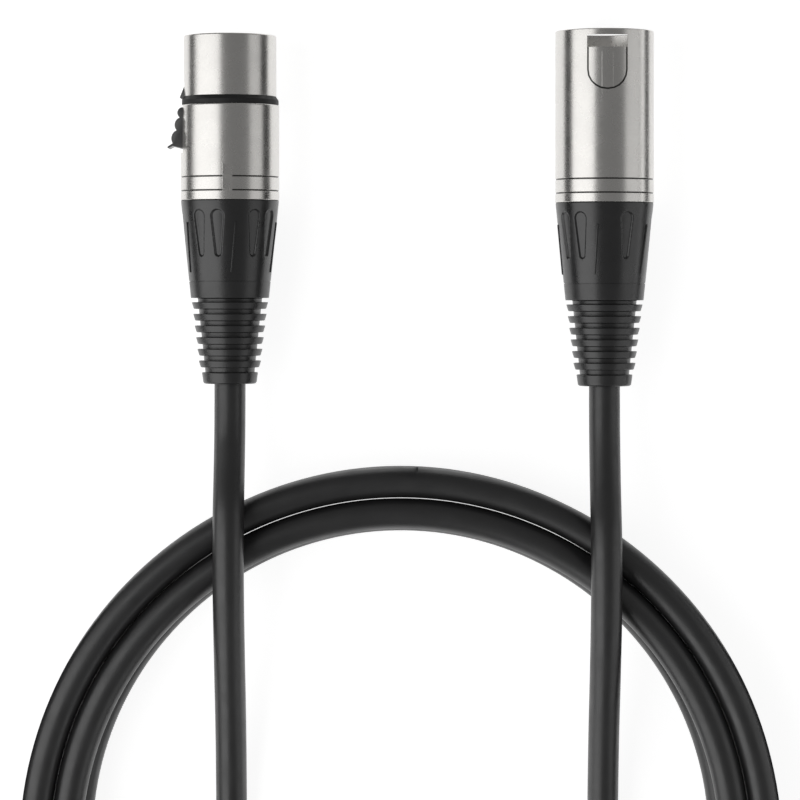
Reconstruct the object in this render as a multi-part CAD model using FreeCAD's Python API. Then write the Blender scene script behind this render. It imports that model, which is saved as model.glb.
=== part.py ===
"""A balanced microphone cable with a three-way female plug and a three-way male plug, laid flat in a coil.

Both plugs lie side by side on the surface and point along +Y. Their leads run back over the coil, cross its
ring, and join it from the inside. The coil has two layers of two loops. Lengths are in millimetres and angles
in degrees. The origin is on the surface, under the middle of the box that the two plugs fill.

A plug is modelled on its own axis, +Z, with depths counted from its mouth towards its cable. Its key, where the
latch is, faces +X. lay_plug then turns it to its key's side and lays it down.
"""

import FreeCAD
import Part
import math
import os

from FreeCAD import Rotation, Vector

# The cable and how it lies
cable_radius = 3.0
lay_gap = 0.45
turn_pitch = 6.6
layer_rise = 2 * cable_radius + lay_gap
top_ring_radius = 70.5
low_ring_inset = 0.9
low_ring_shift = 1.5
climb_bulge = 3.4
end_inset = 2.4
plug_spacing = 72.2
ring_from_female = 32.9
ring_behind_mouth = 156.5

# The metal shells
shell_radius = 9.5
nose_step = 0.55
mating_gap = 0.1
nose_wall = 0.95
rear_wall = 1.5
female_shell_length = 31.7
male_shell_length = 33.0
male_mouth_ahead = 0.85
rim_chamfer = 0.3
line_groove_width = 0.3
line_groove_depth = 0.16
rear_line_from_end = 1.8
front_line_from_end = 4.45
notch_width = 2.0
notch_length = 5.4
notch_depth = 0.35
notch_from_end = 1.8

# The rubber ring behind the female nose
ring_depth = 11.75
ring_width = 1.6
ring_seat_depth = 0.5
ring_front_inset = 0.05
ring_rear_inset = 0.12

# The key and the latch
key_width = 2.6
keyway_width = 3.0
key_front = 4.2
keyway_length = 9.6
pivot_depth = 3.6
pivot_radius = 0.5
pivot_clearance = 0.05
arm_width = 4.0
arm_inset = 2.0
arm_thickness = 1.3
arm_front = 2.7
hook_window_width = 4.3
hook_start = 9.3
hook_window_ahead = 0.3
hook_tip = 12.1
hook_catch = 0.65
tab_width = 6.2
tab_window_width = 6.6
tab_front = 13.8
tab_rear = 21.8
tab_window_front = 13.45
tab_window_rear = 22.6
lip_reach = 2.4
spring_width = 2.4
spring_thickness = 0.3
spring_foot = 8.0
spring_knee = 12.5
spring_tip = 19.5
spring_sag = 0.15
spring_room = 1.8
channel_front = 1.6

# The window and tongue of the male shell
window_width = 7.7
window_front = 1.2
tongue_front = 3.6
tongue_rear = 11.65
tongue_groove_width = 0.35
tongue_groove_depth = 0.2
tongue_sink = 0.08

# The inserts and contacts
contact_circle = 4.3
contact_spread = 62.0
pin_radius = 1.19
socket_radius = 1.22
socket_outer_radius = 1.6
seat_gap = 0.05
insert_gap = 0.1
insert_recess = 0.6
insert_rear = 22.8
entry_length = 1.4
entry_radius = 1.4
socket_front = 2.1
socket_rear = 15.0
pin_front = 4.4
shank_radius = 1.45
male_face = 14.6
male_shoulder = 16.2
cup_radius = 1.45
cup_bore = 0.9
cup_rear = 26.0
cup_depth = 2.0
collar_radius = 1.7
strap_thickness = 0.35
strap_width = 3.0
female_strap_front = 11.9
male_strap_front = 16.9
strap_length = 7.0
wire_radius = 0.6
wire_bundle_radius = 1.5
jacket_end = 31.0

# The screwed bushing, the chuck inside it and the soft boot
bushing_length = 15.5
bushing_inset = 0.05
bushing_rear_radius = 7.86
bushing_lip = 0.25
spigot_length = 4.6
spigot_wall = 0.75
thread_gap = 0.08
chuck_slack = 0.37
chuck_rear_radius = 5.3
chuck_ahead = 0.4
chuck_length = 10.5
chuck_slots = 4
chuck_slot_width = 0.8
chuck_slot_length = 7.5
grip_gap = 0.05
flute_count = 5
flute_pair_angle = 25.3
single_flute_sector = 4
female_flute_turn = 141.0
male_flute_turn = 30.0
flute_front = 1.75
flute_length = 9.2
flute_front_width = 2.7
flute_rear_width = 1.4
flute_depth = 0.45
fin_angle = 20.0
fin_front = 4.2
fin_length = 9.7
fin_width = 0.35
fin_height = 0.22
fin_slant = 4.4
boot_length = 19.8
boot_collar_length = 3.3
boot_plug_radius = 4.9
boot_plug_length = 3.6
rib_count = 6
rib_pitch = 2.25
rib_width = 1.1
rib_front_radius = 7.28
rib_taper = 0.26
rib_edge = 0.15
core_front_radius = 6.1
core_rear_radius = 4.6
tail_radius = 5.4
tail_round = 0.5

# Worked out from the sizes above
nose_radius = shell_radius - nose_step
bore_radius = nose_radius - nose_wall
rear_bore_radius = shell_radius - rear_wall
male_bore_radius = nose_radius + mating_gap
insert_radius = min(bore_radius, rear_bore_radius) - insert_gap
flange_radius = male_bore_radius - seat_gap
ring_seat_radius = nose_radius - ring_seat_depth
ring_front_radius = nose_radius - ring_front_inset
ring_rear_radius = shell_radius - ring_rear_inset
arm_low = bore_radius - arm_inset
arm_high = arm_low + arm_thickness
pivot_height = (arm_low + arm_high) / 2
channel_floor = arm_low - spring_room
hook_height = nose_radius + hook_catch
lip_height = shell_radius + lip_reach
spigot_radius = rear_bore_radius - thread_gap
spigot_bore = spigot_radius - spigot_wall
chuck_front_radius = spigot_bore - chuck_slack
bushing_front_radius = shell_radius - bushing_inset
bushing_taper = (bushing_front_radius - bushing_rear_radius) / bushing_length
latch_reach = lip_height
straight_end = 2 * cable_radius
plugs_width = latch_reach + plug_spacing + shell_radius
female_x = latch_reach - plugs_width / 2
male_x = female_x + plug_spacing
plug_height = shell_radius
female_length = female_shell_length + bushing_length + boot_length
male_length = male_shell_length + bushing_length + boot_length
female_mouth = (male_length - 2 * male_mouth_ahead) / 2
male_mouth = female_mouth + male_mouth_ahead
ring_centre = Vector(female_x + ring_from_female, female_mouth - ring_behind_mouth, 0)

FAR = 60.0
X, Y, Z = Vector(1, 0, 0), Vector(0, 1, 0), Vector(0, 0, 1)
O = Vector(0, 0, 0)


def outline(start, steps, place):
    """A closed wire. A step is a point, or a pair (middle, end) for an arc; place puts a pair of numbers in space."""
    edges, here = [], start
    for step in [*steps, start]:
        if isinstance(step[0], tuple):
            middle, end = step
            edges.append(Part.Arc(place(here), place(middle), place(end)).toShape())
        else:
            end = step
            if end != here:
                edges.append(Part.LineSegment(place(here), place(end)).toShape())
        here = end
    return Part.Wire(edges)


def turned(start, *steps):
    """A solid of revolution about the plug's axis, from (radius, depth) points."""
    wire = outline(start, steps, lambda p: Vector(p[0], 0, p[1]))
    return Part.Face(wire).revolve(O, Z, 360)


def tube(outer, inner, front, rear):
    return turned((inner, front), (outer, front), (outer, rear), (inner, rear))


def rod(radius, front, rear, x=0.0, y=0.0):
    return Part.makeCylinder(radius, rear - front, Vector(x, y, front), Z)


def block(x0, x1, width, front, rear):
    """A box centred across the key, from x0 to x1."""
    return Part.makeBox(x1 - x0, width, rear - front, Vector(x0, -width / 2, front))


def spun(shape, angle):
    copy = shape.copy()
    copy.rotate(O, Z, angle)
    return copy


def contact_places():
    """Contacts 1, 2 and 3: two beside the key and one across from it."""
    angles = (contact_spread, -contact_spread, 180.0)
    return [(contact_circle * math.cos(math.radians(a)), contact_circle * math.sin(math.radians(a))) for a in angles]


def arc_from(start, heading, end):
    """The arc that leaves start along heading and ends at end, or a line if that is straight ahead."""
    chord = end - start
    heading = Vector(heading).normalize()
    side = chord - heading * chord.dot(heading)
    if side.Length < 1e-6 * chord.Length:
        return Part.LineSegment(start, end).toShape()
    side.normalize()
    radius = chord.Length ** 2 / (2 * chord.dot(side))
    centre = start + side * radius
    out = (start + chord * 0.5 - centre).normalize()
    if chord.dot(heading) < 0:
        out = out * -1
    return Part.Arc(start, centre + out * radius, end).toShape()


def biarc(start, heading, end, arrival):
    """Two arcs that leave start along heading and reach end along arrival, with one tangent where they meet."""
    t0, t1 = Vector(heading).normalize(), Vector(arrival).normalize()
    chord = end - start
    both = chord.dot(t0 + t1)
    bend = 2 * (1 - t0.dot(t1))
    if bend < 1e-9:
        reach = chord.Length ** 2 / (4 * chord.dot(t0))
    else:
        reach = (math.sqrt(both * both + bend * chord.dot(chord)) - both) / bend
    meet = ((start + t0 * reach) + (end - t1 * reach)) * 0.5
    middle_heading = (end - t1 * reach) - (start + t0 * reach)
    return [arc_from(start, t0, meet), arc_from(meet, middle_heading, end)]


def swept(edges, radius, start, heading):
    """A round solid along edges that meet smoothly."""
    ring = Part.Wire([Part.makeCircle(radius, start, heading)])
    return Part.Wire(edges).makePipeShell([ring], True, False)


# The female plug


def line_grooves(shell, length):
    """Cuts the two fine lines round the rear of a shell."""
    for from_end in (rear_line_from_end, front_line_from_end):
        middle = length - from_end
        shell = shell.cut(tube(shell_radius + 1, shell_radius - line_groove_depth,
                               middle - line_groove_width / 2, middle + line_groove_width / 2))
    return shell


def index_notch(shell, length):
    """Cuts the short index channel, a quarter turn from the key."""
    rear = length - notch_from_end + line_groove_width / 2
    channel = block(shell_radius - notch_depth, shell_radius + 1, notch_width, rear - notch_length, rear)
    return shell.cut(spun(channel, -90))


def female_shell():
    shoulder = ring_depth + ring_width
    shell = turned(
        (bore_radius, 0), (nose_radius - rim_chamfer, 0),
        ((nose_radius - 0.3 * rim_chamfer, 0.3 * rim_chamfer), (nose_radius, rim_chamfer)),
        (nose_radius, ring_depth), (ring_seat_radius, ring_depth), (ring_seat_radius, shoulder),
        (shell_radius - rim_chamfer, shoulder),
        ((shell_radius - 0.3 * rim_chamfer, shoulder + 0.3 * rim_chamfer), (shell_radius, shoulder + rim_chamfer)),
        (shell_radius, female_shell_length), (rear_bore_radius, female_shell_length),
        (rear_bore_radius, shoulder), (bore_radius, shoulder - rim_chamfer))
    shell = line_grooves(shell, female_shell_length)
    shell = index_notch(shell, female_shell_length)
    keyway = block(arm_low, FAR, keyway_width, -1, keyway_length)
    hook_window = block(arm_low, FAR, hook_window_width, hook_start - hook_window_ahead, tab_window_front + 0.1)
    tab_window = block(arm_low, FAR, tab_window_width, tab_window_front, tab_window_rear)
    return shell.cut(keyway.fuse([hook_window, tab_window]))


def female_ring():
    """The black ring, open where the latch's hook passes."""
    rear = ring_depth + ring_width
    ring = turned((ring_seat_radius, ring_depth), (ring_front_radius, ring_depth),
                  ((ring_front_radius + 0.3, ring_depth + 0.3), (ring_rear_radius, ring_depth + 0.45 * ring_width)),
                  (ring_rear_radius, rear), (ring_seat_radius, rear))
    return ring.cut(block(arm_low, FAR, hook_window_width, ring_depth - 1, rear + 1))


def latch_channel():
    """The room that the latch's arm and its spring need in the insert."""
    front = block(channel_floor, FAR, arm_width + 0.6, channel_front, tab_window_front)
    rear = block(channel_floor, FAR, tab_window_width + 0.2, tab_window_front - 0.1, insert_rear + 1)
    return front.fuse(rear)


def female_insert():
    insert = rod(insert_radius, insert_recess, insert_rear)
    insert = insert.cut(latch_channel())
    for x, y in contact_places():
        insert = insert.cut(rod(entry_radius, insert_recess - 1, insert_recess + entry_length + 0.1, x, y))
        insert = insert.cut(rod(socket_outer_radius + seat_gap, insert_recess + entry_length, FAR, x, y))
    insert = insert.cut(Part.makeCylinder(pivot_radius, FAR, Vector(pivot_height, -FAR / 2, pivot_depth), Y))
    return insert.cut(strap_recess(female_strap_front))


def female_socket(x, y):
    """One socket contact with its solder cup."""
    body = turned(
        (socket_radius, socket_front), (socket_outer_radius, socket_front),
        (socket_outer_radius, insert_rear - 0.8), (cup_radius, insert_rear), (cup_radius, cup_rear),
        (cup_bore, cup_rear), (cup_bore, cup_rear - cup_depth), (0, cup_rear - cup_depth), (0, socket_rear),
        (socket_radius, socket_rear))
    body.translate(Vector(x, y, 0))
    return body


def latch_lever():
    """The push latch: a hinged arm with the catching hook and the ribbed thumb tab."""
    def across(shape_points, width):
        wire = outline(shape_points[0], shape_points[1:], lambda p: Vector(p[0], -width / 2, p[1]))
        return Part.Face(wire).extrude(Vector(0, width, 0))
    arm = across([
        (arm_low, arm_front), (arm_high, arm_front), (arm_high, hook_start),
        (nose_radius - 0.15, hook_start + 0.6), (hook_height, hook_tip - 0.15),
        ((hook_height - 0.05, hook_tip + 0.05), (hook_height - 0.25, hook_tip)),
        (arm_high, hook_tip + 0.3), (arm_high, tab_rear), (arm_low, tab_rear)], arm_width)
    low, step, wave = shell_radius - 0.1, (lip_height - shell_radius) / 4, (tab_rear - tab_front) / 4
    tab = across([
        (arm_low, tab_front), (low - 0.2, tab_front),
        ((low + step, tab_front + 0.45 * wave), (low + 0.35 * step, tab_front + wave)),
        ((low + 1.8 * step, tab_front + 1.65 * wave), (low + 1.1 * step, tab_front + 2.15 * wave)),
        ((low + 2.9 * step, tab_front + 2.9 * wave), (low + 2.1 * step, tab_front + 3.45 * wave)),
        (lip_height, tab_rear - 0.1), (lip_height - 0.6, tab_rear), (low + 2 * step, tab_rear - 0.5),
        (low - 0.3, tab_rear), (arm_low, tab_rear)], tab_width)
    lever = arm.fuse(tab).removeSplitter()
    hole = Part.makeCylinder(pivot_radius + pivot_clearance, FAR, Vector(pivot_height, -FAR / 2, pivot_depth), Y)
    return lever.cut(hole)


def latch_pivot():
    length = arm_width + 3.0
    return Part.makeCylinder(pivot_radius, length, Vector(pivot_height, -length / 2, pivot_depth), Y)


def latch_spring():
    """A leaf that stands on the channel's floor and presses the arm outwards."""
    t, low, high = spring_thickness, channel_floor, arm_low - grip_gap
    middle = (spring_knee + spring_tip) / 2
    inner = (low + high - t) / 2 - spring_sag
    wire = outline(
        (low, spring_foot),
        [(low, spring_knee), ((inner, middle), (high - t, spring_tip)), (high, spring_tip),
         ((inner + t, middle), (low + t, spring_knee)), (low + t, spring_foot)],
        lambda p: Vector(p[0], -spring_width / 2, p[1]))
    return Part.Face(wire).extrude(Vector(0, spring_width, 0))


# The male plug


def tongue_prism(half_width, rear):
    """A U in the key's side, straight at its front and round at its rear, long enough to reach past the shell."""
    wire = outline(
        (-half_width, tongue_front), [(-half_width, rear - half_width), ((0, rear), (half_width, rear - half_width)),
                                      (half_width, tongue_front)],
        lambda p: Vector(0, p[0], p[1]))
    return Part.Face(wire).extrude(Vector(FAR, 0, 0))


def male_shell():
    shell = turned(
        (male_bore_radius, 0.1), (male_bore_radius + 0.1, 0), (shell_radius - 0.2, 0),
        ((shell_radius - 0.06, 0.06), (shell_radius, 0.2)),
        (shell_radius, male_shell_length), (rear_bore_radius, male_shell_length),
        (rear_bore_radius, male_shoulder), (male_bore_radius, male_shoulder))
    shell = line_grooves(shell, male_shell_length)
    shell = index_notch(shell, male_shell_length)
    shell = shell.cut(block(arm_low, FAR, window_width, window_front, tongue_front))
    half = window_width / 2
    inner = half - tongue_groove_width
    skin = tube(shell_radius + 1, shell_radius - tongue_groove_depth, 0, FAR)
    thin_skin = tube(shell_radius + 1, shell_radius - tongue_sink, 0, FAR)
    tongue = tongue_prism(inner, tongue_rear - tongue_groove_width)
    shell = shell.cut(tongue_prism(half, tongue_rear).cut(tongue).common(skin))
    shell = shell.cut(tongue.common(thin_skin))
    key = block(bore_radius + 0.1, male_bore_radius + 0.2, key_width, key_front, male_face)
    return shell.fuse(key).removeSplitter()


def male_insert():
    insert = turned(
        (0, male_face), (flange_radius - 0.3, male_face), (flange_radius, male_face + 0.3),
        (flange_radius, male_shoulder), (insert_radius, male_shoulder), (insert_radius, insert_rear), (0, insert_rear))
    for x, y in contact_places():
        insert = insert.cut(rod(shank_radius + seat_gap, 0, FAR, x, y))
        insert = insert.cut(rod(collar_radius + seat_gap, male_shoulder + 2, FAR, x, y))
    return insert.cut(strap_recess(male_strap_front))


def male_pin(x, y):
    """One pin contact: a round nose, a wider shank and collar in the insert, and a solder cup."""
    collar = male_shoulder + 2 + seat_gap
    body = turned(
        (0, pin_front), ((0.7 * pin_radius, pin_front + 0.3 * pin_radius), (pin_radius, pin_front + pin_radius)),
        (pin_radius, male_face), (shank_radius, male_face), (shank_radius, collar), (collar_radius, collar),
        (collar_radius, insert_rear - 0.4), (cup_radius, insert_rear),
        (cup_radius, cup_rear), (cup_bore, cup_rear), (cup_bore, cup_rear - cup_depth), (0, cup_rear - cup_depth))
    body.translate(Vector(x, y, 0))
    return body


# What both plugs share


def strap_recess(front):
    """The flat recess for the earthing strap, a quarter turn from the key."""
    room = block(insert_radius - 2 * strap_thickness, FAR, strap_width + 0.1, front, front + strap_length + 0.1)
    return spun(room, 90)


def ground_strap(front, bore):
    """The springy strap that joins the shell to earth: it lies in the insert's recess and touches the shell."""
    low = insert_radius - 2 * strap_thickness
    strip = block(low, low + strap_thickness, strap_width, front, front + strap_length)
    foot = block(low, bore + 1, strap_width, front + strap_length - strap_thickness, front + strap_length)
    foot = foot.common(rod(bore, 0, FAR))
    return spun(strip.fuse(foot).removeSplitter(), 90)


def wires(shell_length):
    """Three insulated wires, each from the jacket's end into its solder cup."""
    made = []
    rear = shell_length - female_shell_length + jacket_end
    for x, y in contact_places():
        aim = Vector(x, y, 0).normalize() * wire_bundle_radius
        start, end = Vector(aim.x, aim.y, rear), Vector(x, y, cup_rear)
        edges = biarc(start, -Z, end, -Z)
        inside = Vector(x, y, cup_rear - cup_depth + 0.1)
        edges.append(Part.LineSegment(end, inside).toShape())
        made.append(swept(edges, wire_radius, start, Z))
    return made


def jacket_stub(shell_length, length):
    """The cable's jacket inside the plug, up to where it leaves the boot."""
    return rod(cable_radius, shell_length - female_shell_length + jacket_end, length)


def chuck(shell_length):
    """The slotted collet that the bushing closes on the cable."""
    front = shell_length + chuck_ahead
    rear = front + chuck_length
    body = turned(
        (cable_radius + grip_gap, front), (chuck_front_radius - 0.3, front), (chuck_front_radius, front + 0.3),
        (chuck_front_radius, front + 1.5), (chuck_rear_radius, rear), (cable_radius + grip_gap, rear))
    for k in range(chuck_slots):
        slot = block(cable_radius - 1, FAR, chuck_slot_width, rear - chuck_slot_length, rear + 1)
        body = body.cut(spun(slot, 45 + k * 360 / chuck_slots))
    return body


def flute_prism():
    """The outline of one grip flute, wide at its front and narrow at its rear."""
    wide, thin = flute_front_width / 2, flute_rear_width / 2
    front, rear = flute_front, flute_front + flute_length
    wire = outline(
        (-wide, front + 0.8 * wide),
        [((-0.7 * wide, front + 0.2 * wide), (0, front)), ((0.7 * wide, front + 0.2 * wide), (wide, front + 0.8 * wide)),
         (thin, rear - thin), ((0, rear), (-thin, rear - thin))],
        lambda p: Vector(0, p[0], p[1]))
    return Part.Face(wire).extrude(Vector(FAR, 0, 0))


def bushing_cone(offset):
    """The bushing's outer cone, grown or shrunk by offset, a little longer than the bushing."""
    extra = 1.0
    front = bushing_front_radius + offset + bushing_taper * extra
    rear = bushing_rear_radius + offset - bushing_taper * extra
    return Part.makeCone(front, rear, bushing_length + 2 * extra, Vector(0, 0, -extra), Z)


def bushing(shell_length, flute_turn):
    """The screwed bushing. It is made at depth 0 and moved behind its shell."""
    seat_front = chuck_front_radius + grip_gap
    seat_rear = chuck_rear_radius + grip_gap
    seat_end = chuck_ahead + chuck_length + grip_gap
    rear_hole = boot_plug_radius + grip_gap
    plug_room = bushing_length - boot_plug_length
    body = turned(
        (spigot_bore, -spigot_length), (spigot_radius, -spigot_length), (spigot_radius, 0),
        (bushing_front_radius - bushing_lip, 0),
        ((bushing_front_radius - 0.3 * bushing_lip, 0.3 * bushing_lip), (bushing_front_radius, bushing_lip)),
        (bushing_rear_radius, bushing_length), (rear_hole, bushing_length), (rear_hole, plug_room),
        (seat_rear, plug_room), (seat_rear, seat_end), (seat_front, chuck_ahead + 1.5),
        (seat_front, -0.5), (spigot_bore, -1.2))
    floor = bushing_cone(-flute_depth)
    flute = flute_prism().cut(floor)
    fin = block(bushing_rear_radius - 2, FAR, fin_width, fin_front, fin_front + fin_length)
    fin.rotate(Vector(0, 0, fin_front + fin_length / 2), X, fin_slant)
    fin = fin.common(bushing_cone(fin_height)).cut(bushing_cone(-0.3))
    period = 360 / flute_count
    for k in range(flute_count):
        turns = [flute_pair_angle / 2] if k == single_flute_sector else [0, flute_pair_angle]
        for turn in turns:
            body = body.cut(spun(flute, k * period + turn))
        body = body.fuse(spun(fin, k * period - fin_angle))
    body = spun(body, flute_turn)
    body.translate(Vector(0, 0, shell_length))
    return body


def boot(shell_length):
    """The soft boot: a collar that carries on the bushing's cone, then ribs on a thinning core."""
    bore = cable_radius + grip_gap
    shoulder = bushing_rear_radius - bushing_taper * boot_collar_length
    steps = [(boot_plug_radius, -boot_plug_length), (boot_plug_radius, 0), (bushing_rear_radius, 0),
             (shoulder, boot_collar_length - rib_edge), (shoulder - rib_edge, boot_collar_length)]
    ribs_length = boot_length - boot_collar_length

    def core(depth):
        share = (depth - boot_collar_length) / ribs_length
        return core_front_radius + (core_rear_radius - core_front_radius) * share

    steps.append((core(boot_collar_length), boot_collar_length))
    first = boot_collar_length + rib_pitch - rib_width - rib_edge
    for k in range(rib_count):
        front, rear = first + k * rib_pitch, first + k * rib_pitch + rib_width
        crest = rib_front_radius - k * rib_taper
        steps += [(core(front), front), (crest - rib_edge, front), (crest, front + rib_edge),
                  (crest - rib_edge, rear - rib_edge), (crest - 2 * rib_edge, rear), (core(rear), rear)]
    tail = first + rib_count * rib_pitch
    steps += [(core(tail), tail), (tail_radius, tail), (tail_radius - 0.3, boot_length - tail_round),
              ((tail_radius - 0.45, boot_length - 0.3 * tail_round), (tail_radius - 0.3 - tail_round, boot_length)),
              (bore, boot_length)]
    body = turned((bore, -boot_plug_length), *steps)
    body.translate(Vector(0, 0, shell_length + bushing_length))
    return body


def plug_parts(name, shell_length, length, flute_turn, contacts, strap_at):
    """The pieces that both plugs have, by node name."""
    parts = {
        name + "_chuck": chuck(shell_length),
        name + "_bushing": bushing(shell_length, flute_turn),
        name + "_boot": boot(shell_length),
        name + "_jacket_end": jacket_stub(shell_length, length),
        name + "_ground_strap": ground_strap(strap_at, rear_bore_radius),
    }
    for k, wire in enumerate(wires(shell_length)):
        parts[f"{name}_wire_{k + 1}"] = wire
    for k, contact in enumerate(contacts):
        parts[f"{name}_contact_{k + 1}"] = contact
    return parts


def female_parts():
    parts = plug_parts("female", female_shell_length, female_length, female_flute_turn,
                       [female_socket(x, y) for x, y in contact_places()], female_strap_front)
    parts["female_shell"] = female_shell()
    parts["female_front_ring"] = female_ring()
    parts["female_insert"] = female_insert()
    parts["latch_lever"] = latch_lever()
    parts["latch_pivot_pin"] = latch_pivot()
    parts["latch_spring"] = latch_spring()
    return parts


def male_parts():
    parts = plug_parts("male", male_shell_length, male_length, male_flute_turn,
                       [male_pin(x, y) for x, y in contact_places()], male_strap_front)
    parts["male_shell"] = male_shell()
    parts["male_insert"] = male_insert()
    return parts


def lay_plug(shape, x, mouth, key_angle):
    """Turns the plug so that its key points to key_angle, seen from its cable, and lays it with its mouth at mouth."""
    laid = spun(shape, key_angle)
    laid.Placement = FreeCAD.Placement(Vector(x, mouth, plug_height), Rotation(X, 90)).multiply(laid.Placement)
    return laid


# The cable outside the plugs


def ring_edges():
    """The coil's line: half turns that spiral out on the floor, climb, and spiral in on top."""
    low, high = cable_radius, cable_radius + layer_rise
    low_centre = ring_centre + Vector(0, low_ring_shift, low)
    high_centre = ring_centre + Vector(0, 0, high)
    outer_low = top_ring_radius - low_ring_inset
    inner_low = outer_low - turn_pitch
    inner_high = top_ring_radius - turn_pitch
    half_pitch = turn_pitch / 2

    def half(centre, radius, down):
        side = -1 if down else 1
        return Part.Arc(centre + X * radius * side, centre + Y * radius * side, centre - X * radius * side).toShape()

    first = low_centre + X * half_pitch
    bend = first - Y * (inner_low - half_pitch - end_inset)
    begin = bend - X * straight_end
    edges = [Part.LineSegment(begin, bend).toShape(), *biarc(bend, X, low_centre + X * inner_low, Y)]
    edges.append(half(low_centre, inner_low, False))
    edges.append(half(first, inner_low + half_pitch, True))
    edges.append(half(low_centre, outer_low, False))

    left, right = low_centre - X * outer_low, high_centre + X * top_ring_radius
    bottom_radius = top_ring_radius + climb_bulge
    climb = [
        (left, -Y),
        (around(225, bottom_radius - 1.4, low + 0.15), Vector(1, -1, 0.02)),
        (around(270, bottom_radius, (low + high) / 2), Vector(1, 0, 0.062)),
        (around(315, bottom_radius - 1.2, high - 0.15), Vector(1, 1, 0.02)),
        (right, Y),
    ]
    for (a, leaving), (b, arriving) in zip(climb, climb[1:]):
        edges += biarc(a, leaving, b, arriving)

    last = high_centre - X * half_pitch
    edges.append(half(high_centre, top_ring_radius, False))
    edges.append(half(last, top_ring_radius - half_pitch, True))
    edges.append(half(high_centre, inner_high, False))
    unbend = last - Y * (inner_high - half_pitch - end_inset)
    finish = unbend + X * straight_end
    edges += [*biarc(high_centre - X * inner_high, -Y, unbend, X), Part.LineSegment(unbend, finish).toShape()]
    return edges, begin, finish


def around(angle, radius, height):
    """A point of the coil at an angle, as seen from above."""
    turn = math.radians(angle)
    return ring_centre + Vector(radius * math.cos(turn), radius * math.sin(turn), height)


def lead_route(x, exit_y, crest_outer, crest_inner, join):
    """A lead's route, from the boot over the ring and down to the floor inside it. join is its last points."""
    floor, crest = cable_radius, cable_radius + 2 * layer_rise
    to = lambda y, z: Vector(x, y, z)
    y = ring_centre.y
    return [
        to(exit_y, plug_height),
        to(exit_y - 7.8, plug_height),
        to(y + crest_outer + 10.5, plug_height + 2.9),
        to(y + crest_outer + 1.5, crest + 0.4),
        to(y + crest_inner - 3.5, crest + 0.5),
        to(y + crest_inner - 16.0, crest - 3.3),
        to(y + crest_inner - 31.0, floor + 3.4),
        to(y + crest_inner - 48.0, floor + 0.3),
        *join,
    ]


def lead_female(begin):
    """From the female boot to the coil's first loop."""
    c, x = ring_centre, female_x
    return lead_route(x, female_mouth - female_length, 62.4, 54.8, [
        Vector(x, c.y - 14.0, cable_radius),
        Vector(x, c.y - 37.0, cable_radius),
        Vector(x + 7.8, c.y - 50.0, cable_radius),
        Vector(begin.x - 11.0, begin.y, cable_radius),
        begin,
    ])


def lead_male(finish):
    """From the male boot to the coil's last loop."""
    c, x = ring_centre, male_x
    return lead_route(x, male_mouth - male_length, 58.5, 50.4, [
        Vector(x, c.y - 14.0, cable_radius + 0.5),
        Vector(x, c.y - 33.0, cable_radius + 4.6),
        Vector(x - 9.0, c.y - 49.5, cable_radius + layer_rise + 0.4),
        Vector(finish.x + 11.0, finish.y, cable_radius + layer_rise),
        finish,
    ])


def lead_edges(name, route):
    """Straight runs with a tangent arc at each point, and prints the arcs' radii."""
    edges, radii, here = [], [], route[0]
    for before, corner, after in zip(route, route[1:], route[2:]):
        into, out = corner - before, after - corner
        half_turn = into.getAngle(out) / 2
        cut = 0.45 * min(into.Length, out.Length)
        radii.append(cut / math.tan(half_turn))
        a = corner - Vector(into).normalize() * cut
        b = corner + Vector(out).normalize() * cut
        edges += [Part.LineSegment(here, a).toShape(), arc_from(a, into, b)]
        here = b
    edges.append(Part.LineSegment(here, route[-1]).toShape())
    length = sum(e.Length for e in edges)
    print(name, "is", round(length), "mm long, with bends of", [round(r) for r in radii], "mm")
    return edges


def least_gap(edges):
    """The least gap between two stretches of one cable that are over two diameters apart along it."""
    step = cable_radius / 2
    points, along = [], []
    travelled = 0.0
    for edge in edges:
        count = max(2, math.ceil(edge.Length / step))
        line = edge.discretize(count + 1)
        points += line[:-1]
        along += [travelled + edge.Length * k / count for k in range(count)]
        travelled += edge.Length
    least = FAR
    skip = 4 * cable_radius
    for i, p in enumerate(points):
        for j in range(i + 1, len(points)):
            if along[j] - along[i] > skip:
                q = points[j]
                if abs(p.x - q.x) < 4 * cable_radius and abs(p.y - q.y) < 4 * cable_radius:
                    least = min(least, (p - q).Length)
    return least - 2 * cable_radius


def flipped(edges):
    """The same line, travelled the other way."""
    turned_round = []
    for edge in reversed(edges):
        points = edge.discretize(3)
        if (points[2] - points[0]).cross(points[1] - points[0]).Length < 1e-7:
            turned_round.append(Part.LineSegment(points[2], points[0]).toShape())
        else:
            turned_round.append(Part.Arc(points[2], points[1], points[0]).toShape())
    return turned_round


def cable_parts():
    ring, begin, finish = ring_edges()
    into = lead_edges("the female lead", lead_female(begin))
    away = lead_edges("the male lead", lead_male(finish))
    whole = into + ring + flipped(away)
    print("the cable is", round(sum(e.Length for e in whole)), "mm long outside the boots")
    print("its least gap to itself is", round(least_gap(whole), 2), "mm")
    parts = {
        "cable_coil": swept(ring, cable_radius, begin, X),
        "cable_lead_female": swept(into, cable_radius, lead_female(begin)[0], Y),
        "cable_lead_male": swept(away, cable_radius, lead_male(finish)[0], Y),
    }
    for (name, solid), edges in zip(parts.items(), (ring, into, away)):
        length = sum(e.Length for e in edges)
        share = solid.Volume / (math.pi * cable_radius ** 2 * length)
        print(name, "has", round(100 * share, 2), "% of its section times its length")
    return parts


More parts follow.
